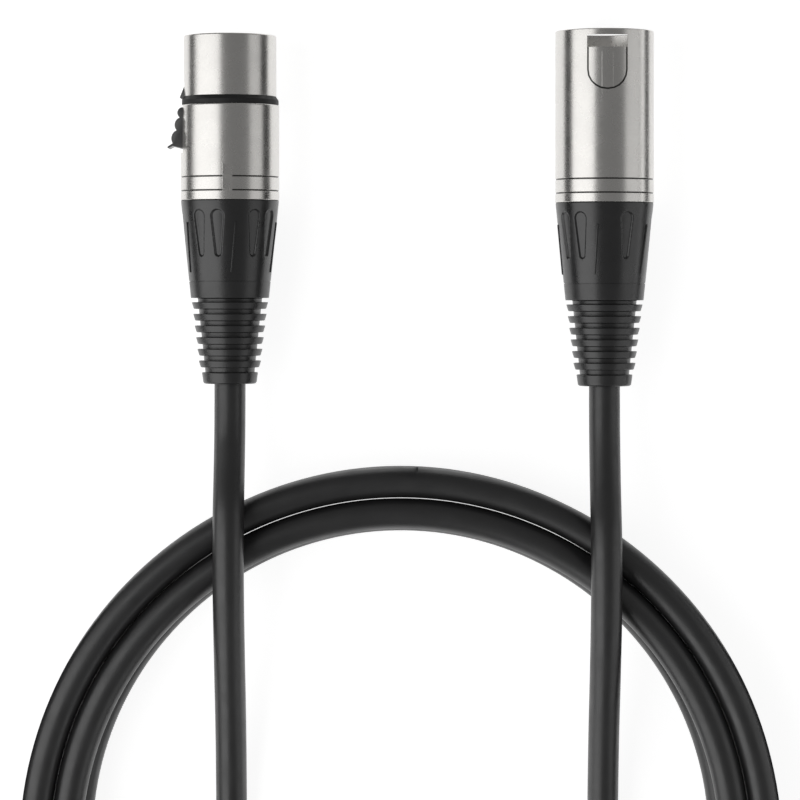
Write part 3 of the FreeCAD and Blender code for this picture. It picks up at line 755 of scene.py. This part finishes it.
def arc_points(start, middle, end, steps=8):
    """Points on the arc from start through middle to end, both ends left out."""
    a, b, c = (Vector(p) for p in (start, middle, end))
    d = 2 * (a.x * (b.y - c.y) + b.x * (c.y - a.y) + c.x * (a.y - b.y))
    squares = [p.length_squared for p in (a, b, c)]
    centre = Vector((squares[0] * (b.y - c.y) + squares[1] * (c.y - a.y) + squares[2] * (a.y - b.y),
                     squares[0] * (c.x - b.x) + squares[1] * (a.x - c.x) + squares[2] * (b.x - a.x))) / d
    first, via, last = a - centre, b - centre, c - centre
    sweep = first.angle_signed(via) + via.angle_signed(last)
    return [tuple(centre + Matrix.Rotation(-sweep * k / steps, 2) @ first) for k in range(1, steps)]


def latch_mesh():
    """The lever: a flat arm, its hook, and the thumb tab with its rising waves."""
    arm_low, arm_high, arm_width = 6.0, 7.3, 4.0
    tab_front, tab_rear, tab_width = 13.8, 21.8, 6.2
    pivot_height, pivot_depth, pivot_radius = 6.65, 3.6, 0.55
    across = lambda width: (lambda a, b: (a, -width / 2, b))
    arm = prism([(arm_low, 2.7, 0.3), (arm_high, 2.7, 0.3), (arm_high, 9.3, 0.2), (8.75, 9.9, 0.3),
                 (9.6, 12.05, 0.18), (9.2, 12.15, 0.1), (arm_high, 12.4, 0.2), (arm_high, tab_rear - 0.05, 0.1),
                 (arm_low, tab_rear - 0.05, 0.1)], across(arm_width), Vector((0, arm_width, 0)))
    waves = [((9.2, tab_front + 0.1), (9.9, 14.6), (9.5, 15.85)), ((9.5, 15.85), (10.45, 16.95), (10.1, 18.3)),
             ((10.1, 18.3), (11.05, 19.4), (10.85, 20.8))]
    crests = []
    for start, middle, end in waves:
        crests += [start, *arc_points(start, middle, end)]
    tab = prism([
        (arm_low, tab_front, 0.2), *crests, (10.85, 20.8), (11.86, 21.45, 0.15), (11.8, tab_rear, 0.12),
        (10.9, 21.3, 0.25), (9.2, tab_rear - 0.1, 0.2), (arm_low, tab_rear, 0.1)],
        across(tab_width), Vector((0, tab_width, 0)))
    for bm in (arm, tab):
        bmesh.ops.recalc_face_normals(bm, faces=bm.faces)
        sides = {e for f in bm.faces if abs(f.normal.y) > 0.9 for e in f.edges}
        bmesh.ops.bevel(bm, geom=list(sides), offset=0.09, offset_type="OFFSET", segments=2, profile=0.5,
                        affect="EDGES", clamp_overlap=True, material=-1)
    hole = bmesh.new()
    across_pivot = Matrix.Translation((pivot_height, 0, pivot_depth)) @ Matrix.Rotation(math.radians(90), 4, "X")
    bmesh.ops.create_cone(hole, cap_ends=True, segments=32, radius1=pivot_radius, radius2=pivot_radius, depth=12,
                          matrix=across_pivot)
    return carved(merged(to_mesh(arm), [tab]), [hole])


class PLUGCABLE_OT_latch(bpy.types.Operator):
    """Make the latch lever"""

    bl_idname = "plug_cable.latch"
    bl_label = "Latch"

    def execute(self, context):
        grey = plain_finish("latch grey", finishes().latch_grey, 0.34, 0.6, grain=3200, depth=0.000006)
        place_piece("thumb_latch", latch_mesh(), FEMALE, "latch", grey, "latch_lever")
        return {"FINISHED"}


# The cable


def coil_line(jacket, ring):
    """Control points of the coil: half turns that spiral out on the floor, climb, and spiral in on top."""
    pitch, top_pitch, rise = 0.0066, 0.00605, jacket + LAY_GAP
    low_inset, low_shift, bulge, end_inset = 0.0009, 0.0007, 0.0034, 0.0024
    centre = Vector((FEMALE.x + 0.0329, FEMALE.mouth - 0.1565, 0))
    low, high = centre + Vector((0, low_shift, jacket / 2)), centre + Vector((0, 0, jacket / 2 + rise))
    aside, top_aside = Vector((pitch / 2, 0, 0)), Vector((top_pitch / 2, 0, 0))
    outer_low, inner_high = ring - low_inset, ring - top_pitch
    inner_low = outer_low - pitch
    first, last = inner_low - pitch / 2 - end_inset, inner_high - top_pitch / 2 - end_inset
    stretches = [
        (270, 360, low + aside, low, first, inner_low),
        (0, 180, low, low, inner_low, inner_low),
        (180, 360, low + aside, low + aside, inner_low + pitch / 2, inner_low + pitch / 2),
        (0, 180, low, low, outer_low, outer_low),
        (180, 360, low, high, outer_low, ring),
        (0, 180, high, high, ring, ring),
        (180, 360, high - top_aside, high - top_aside, ring - top_pitch / 2, ring - top_pitch / 2),
        (0, 180, high, high, inner_high, inner_high),
        (180, 270, high, high - top_aside, inner_high, last),
    ]
    step = 15
    tight = 1 / (0.75 + 0.25 * math.cos(math.radians(step)))
    points = []
    for start, end, centre_a, centre_b, radius_a, radius_b in stretches:
        count = round((end - start) / step)
        climbs = centre_a.z != centre_b.z
        for k in range(count):
            share = (k + 0.5) / count
            turn = math.radians(start + share * (end - start))
            smooth = share * share * (3 - 2 * share)
            middle = centre_a.lerp(centre_b, smooth)
            radius = radius_a + (radius_b - radius_a) * smooth
            if climbs:
                radius += bulge * math.sin(math.pi * share)
            points.append(middle + Vector((math.cos(turn), math.sin(turn), 0)) * radius * tight)
    begin = low + aside - Vector((jacket, first, 0))
    finish = high - top_aside - Vector((-jacket, last, 0))
    return centre, [begin, begin + Vector((jacket / 2, 0, 0)), *points, finish - Vector((jacket / 2, 0, 0)), finish]


def over_ring(plug, exit_y, centre, crest_outer, crest_inner, jacket, rise):
    """A lead's route from its boot over the ring and down to the surface inside it."""
    floor = jacket / 2
    crest = floor + 2 * rise
    steps = [
        (exit_y, plug.height),
        (exit_y - 0.0078, plug.height),
        (centre.y + crest_outer + 0.0105, plug.height + 0.0029),
        (centre.y + crest_outer + 0.0015, crest + 0.0004),
        (centre.y + crest_inner - 0.0035, crest + 0.0005),
        (centre.y + crest_inner - 0.0160, crest - 0.0033),
        (centre.y + crest_inner - 0.0310, floor + 0.0034),
        (centre.y + crest_inner - 0.0480, floor + 0.0003),
    ]
    return [Vector((plug.x, y, z)) for y, z in steps]


def cable_line():
    """The whole cable's control points, from the female boot round the coil to the male boot."""
    jacket = sizes().cable_diameter
    rise = jacket + LAY_GAP
    floor = jacket / 2
    centre, coil = coil_line(jacket, sizes().ring_radius)
    begin, finish = coil[0], coil[-1]
    plug_length = (bushing_length_mm + boot_length_mm) * MM
    exits = [plug.mouth - plug.shell_length * MM - plug_length for plug in (FEMALE, MALE)]
    into = over_ring(FEMALE, exits[0], centre, 0.0624, 0.0548, jacket, rise) + [
        Vector((FEMALE.x, centre.y - 0.0140, floor)),
        Vector((FEMALE.x, centre.y - 0.0370, floor)),
        Vector((FEMALE.x + 0.0078, centre.y - 0.0500, floor)),
        Vector((begin.x - 0.0110, begin.y, floor)),
    ]
    away = over_ring(MALE, exits[1], centre, 0.0585, 0.0504, jacket, rise) + [
        Vector((MALE.x, centre.y - 0.0140, floor + 0.0005)),
        Vector((MALE.x, centre.y - 0.0330, floor + 0.0046)),
        Vector((MALE.x - 0.0090, centre.y - 0.0495, floor + rise + 0.0004)),
        Vector((finish.x + 0.0110, finish.y, floor + rise)),
    ]
    return [*into, *coil, *reversed(away)]


class PLUGCABLE_OT_cable(bpy.types.Operator):
    """Lay the cable from boot to boot, round the coil"""

    bl_idname = "plug_cable.cable"
    bl_label = "Cable"

    def execute(self, context):
        points = cable_line()
        curve = bpy.data.curves.new("coiled_cable", "CURVE")
        curve.dimensions = "3D"
        curve.bevel_depth = sizes().cable_diameter / 2
        curve.bevel_resolution = 6
        curve.resolution_u = 8
        curve.use_fill_caps = True
        spline = curve.splines.new("NURBS")
        spline.points.add(len(points) - 1)
        for control, point in zip(spline.points, points):
            control.co = (*point, 1.0)
        spline.order_u = 3
        spline.use_endpoint_u = True
        curve.materials.append(cable_jacket())
        cable = as_object("coiled_cable", curve)
        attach(cable, "shells_and_cable")
        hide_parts("cable_lead_female", "cable_coil", "cable_lead_male")
        return {"FINISHED"}


# The pieces inside, which keep their CAD shapes


def dress(nodes, material):
    for name in nodes:
        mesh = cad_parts[name].data
        mesh.materials.clear()
        mesh.materials.append(material)


class PLUGCABLE_OT_insides(bpy.types.Operator):
    """Give the inserts, contacts and the other inner pieces their finishes"""

    bl_idname = "plug_cable.insides"
    bl_label = "Inner pieces"

    def execute(self, context):
        each = ("female", "male")
        dress([f"{n}_insert" for n in each], plain_finish("insert nylon", (0.02, 0.02, 0.022), 0.45))
        dress([f"{n}_contact_{k}" for n in each for k in (1, 2, 3)],
              plain_finish("contact silver", (0.86, 0.84, 0.78), 0.2, 1.0, depth=0.000002, change=0.04))
        dress([f"{n}_ground_strap" for n in each], plain_finish("strap bronze", (0.62, 0.56, 0.44), 0.3, 1.0))
        dress(["latch_pivot_pin", "latch_spring"], plain_finish("spring steel", (0.56, 0.56, 0.57), 0.28, 1.0))
        dress([f"{n}_chuck" for n in each], plain_finish("chuck acetal", (0.78, 0.75, 0.66), 0.45))
        dress([f"{n}_jacket_end" for n in each], plain_finish("jacket end", (0.02, 0.02, 0.021), 0.42))
        dress([f"{n}_wire_1" for n in each], plain_finish("black wire", (0.02, 0.02, 0.02), 0.4))
        dress([f"{n}_wire_2" for n in each], plain_finish("red wire", (0.5, 0.03, 0.025), 0.38))
        dress([f"{n}_wire_3" for n in each], plain_finish("white wire", (0.78, 0.78, 0.75), 0.4))
        return {"FINISHED"}


# The stage


def soft_box(name, angle, width, strength):
    """A long soft box beside the plugs, angle degrees over towards +X from straight above."""
    distance, length, middle_y = 0.6, 1.15, -0.43
    light = bpy.data.lights.new(name, "AREA")
    light.shape = "RECTANGLE"
    light.size = width
    light.size_y = length
    light.energy = strength
    box = bpy.data.objects.new(name, light)
    turn = math.radians(angle)
    box.location = (math.sin(turn) * distance, middle_y, math.cos(turn) * distance)
    box.rotation_euler = (0, turn, 0)
    bpy.context.scene.collection.objects.link(box)


def black_flag(name, low, high):
    """A thin black card between two corners. Only reflections meet it. It gives the metal its dark bands."""
    low, high = Vector(low), Vector(high)
    bm = bmesh.new()
    bmesh.ops.create_cube(bm, size=1.0, matrix=Matrix.Diagonal((*(high - low), 1)))
    mesh = bpy.data.meshes.new(name)
    bm.to_mesh(mesh)
    bm.free()
    mesh.materials.append(new_material(name, (0.005, 0.005, 0.005), 0.9)[0])
    flag = as_object(name, mesh)
    flag.location = (low + high) / 2
    flag.visible_camera = flag.visible_diffuse = flag.visible_shadow = flag.visible_transmission = False
    return flag


def white_surface():
    """A white surface that reads as white to the camera and in reflections, and keeps the object's shadow."""
    material, shader = new_material("white surface", (0.5, 0.5, 0.5), 0.7)
    nodes, links = material.node_tree.nodes, material.node_tree.links
    path = nodes.new("ShaderNodeLightPath")
    seen = path.outputs["Is Camera Ray"]
    for ray in ("Is Glossy Ray", "Is Transmission Ray"):
        either = nodes.new("ShaderNodeMath")
        either.operation = "MAXIMUM"
        links.new(seen, either.inputs[0])
        links.new(path.outputs[ray], either.inputs[1])
        seen = either.outputs[0]
    glow = nodes.new("ShaderNodeEmission")
    glow.inputs["Color"].default_value = (1, 1, 1, 1)
    lift = nodes.new("ShaderNodeMath")
    lift.operation = "MULTIPLY"
    lift.inputs[1].default_value = 0.86
    links.new(seen, lift.inputs[0])
    links.new(lift.outputs[0], glow.inputs["Strength"])
    both = nodes.new("ShaderNodeAddShader")
    links.new(shader.outputs["BSDF"], both.inputs[0])
    links.new(glow.outputs["Emission"], both.inputs[1])
    links.new(both.outputs["Shader"], nodes["Material Output"].inputs["Surface"])
    return material


def studio_world():
    """White to the camera, and a soft grey fill to every other ray."""
    world = bpy.data.worlds.new("studio")
    bpy.context.scene.world = world
    world.use_nodes = True
    nodes, links = world.node_tree.nodes, world.node_tree.links
    background = nodes["Background"]
    background.inputs["Color"].default_value = (1, 1, 1, 1)
    path = nodes.new("ShaderNodeLightPath")
    level = nodes.new("ShaderNodeMapRange")
    level.inputs["To Min"].default_value = 0.19
    level.inputs["To Max"].default_value = 1.0
    links.new(path.outputs["Is Camera Ray"], level.inputs["Value"])
    links.new(level.outputs["Result"], background.inputs["Strength"])


def camera():
    """Straight above, as the photograph was taken; its axis meets the picture above the middle."""
    data = bpy.data.cameras.new("camera")
    data.lens = 144.0
    data.sensor_width = 36.0
    data.shift_y = -0.1375
    view = bpy.data.objects.new("camera", data)
    view.location = ((FEMALE.x + MALE.x) / 2 - 0.00332, FEMALE.mouth - 0.04896, 0.6265)
    bpy.context.scene.collection.objects.link(view)
    bpy.context.scene.camera = view


class PLUGCABLE_OT_stage(bpy.types.Operator):
    """Set up the white surface, the soft boxes and the camera"""

    bl_idname = "plug_cable.stage"
    bl_label = "Stage"

    def execute(self, context):
        bm = bmesh.new()
        bmesh.ops.create_grid(bm, x_segments=1, y_segments=1, size=3.0)
        mesh = bpy.data.meshes.new("white_surface")
        bm.to_mesh(mesh)
        bm.free()
        mesh.materials.append(white_surface())
        as_object("white_surface", mesh)
        studio_world()
        soft_box("left soft box", -55, 0.75, 3.4)
        soft_box("right soft box", 66, 0.41, 0.74)
        middle = (FEMALE.x + MALE.x) / 2
        for name, low, high in (
                ("left flag", (FEMALE.x - 0.235, -0.33, 0.0002), (FEMALE.x - 0.035, 0.27, 0.0004)),
                ("right flag", (MALE.x + 0.03, -0.33, 0.0002), (MALE.x + 0.069, 0.27, 0.0004)),
                ("middle flag", (middle - 0.0001, -0.05, 0.004), (middle + 0.0001, 0.05, 0.019))):
            black_flag(name, low, high)
        camera()
        context.scene.view_settings.view_transform = "Standard"
        return {"FINISHED"}


STEPS = (
    PLUGCABLE_OT_stage,
    PLUGCABLE_OT_cable,
    PLUGCABLE_OT_shells,
    PLUGCABLE_OT_front_ring,
    PLUGCABLE_OT_latch,
    PLUGCABLE_OT_bushings,
    PLUGCABLE_OT_boots,
    PLUGCABLE_OT_insides,
)


class PLUGCABLE_PT_panel(bpy.types.Panel):
    """Lists the cable's sizes, finishes and steps"""

    bl_idname = "PLUGCABLE_PT_panel"
    bl_label = "Plug Cable"
    bl_space_type = "VIEW_3D"
    bl_region_type = "UI"
    bl_category = "Plug Cable"

    def draw(self, context):
        for group in (context.scene.plug_cable_sizes, context.scene.plug_cable_finishes):
            for name in group.__annotations__:
                self.layout.prop(group, name)
        for step in STEPS:
            self.layout.operator(step.bl_idname)


CLASSES = (PlugCableSizes, PlugCableFinishes, *STEPS, PLUGCABLE_PT_panel)


def register():
    for cls in CLASSES:
        bpy.utils.register_class(cls)
    bpy.types.Scene.plug_cable_sizes = bpy.props.PointerProperty(type=PlugCableSizes)
    bpy.types.Scene.plug_cable_finishes = bpy.props.PointerProperty(type=PlugCableFinishes)


def unregister():
    del bpy.types.Scene.plug_cable_finishes
    del bpy.types.Scene.plug_cable_sizes
    for cls in reversed(CLASSES):
        bpy.utils.unregister_class(cls)


def main():
    register()
    bpy.ops.plug_cable.stage()
    bpy.ops.plug_cable.cable()
    bpy.ops.plug_cable.shells()
    bpy.ops.plug_cable.front_ring()
    bpy.ops.plug_cable.latch()
    bpy.ops.plug_cable.bushings()
    bpy.ops.plug_cable.boots()
    bpy.ops.plug_cable.insides()


if __name__ == "__main__":
    main()
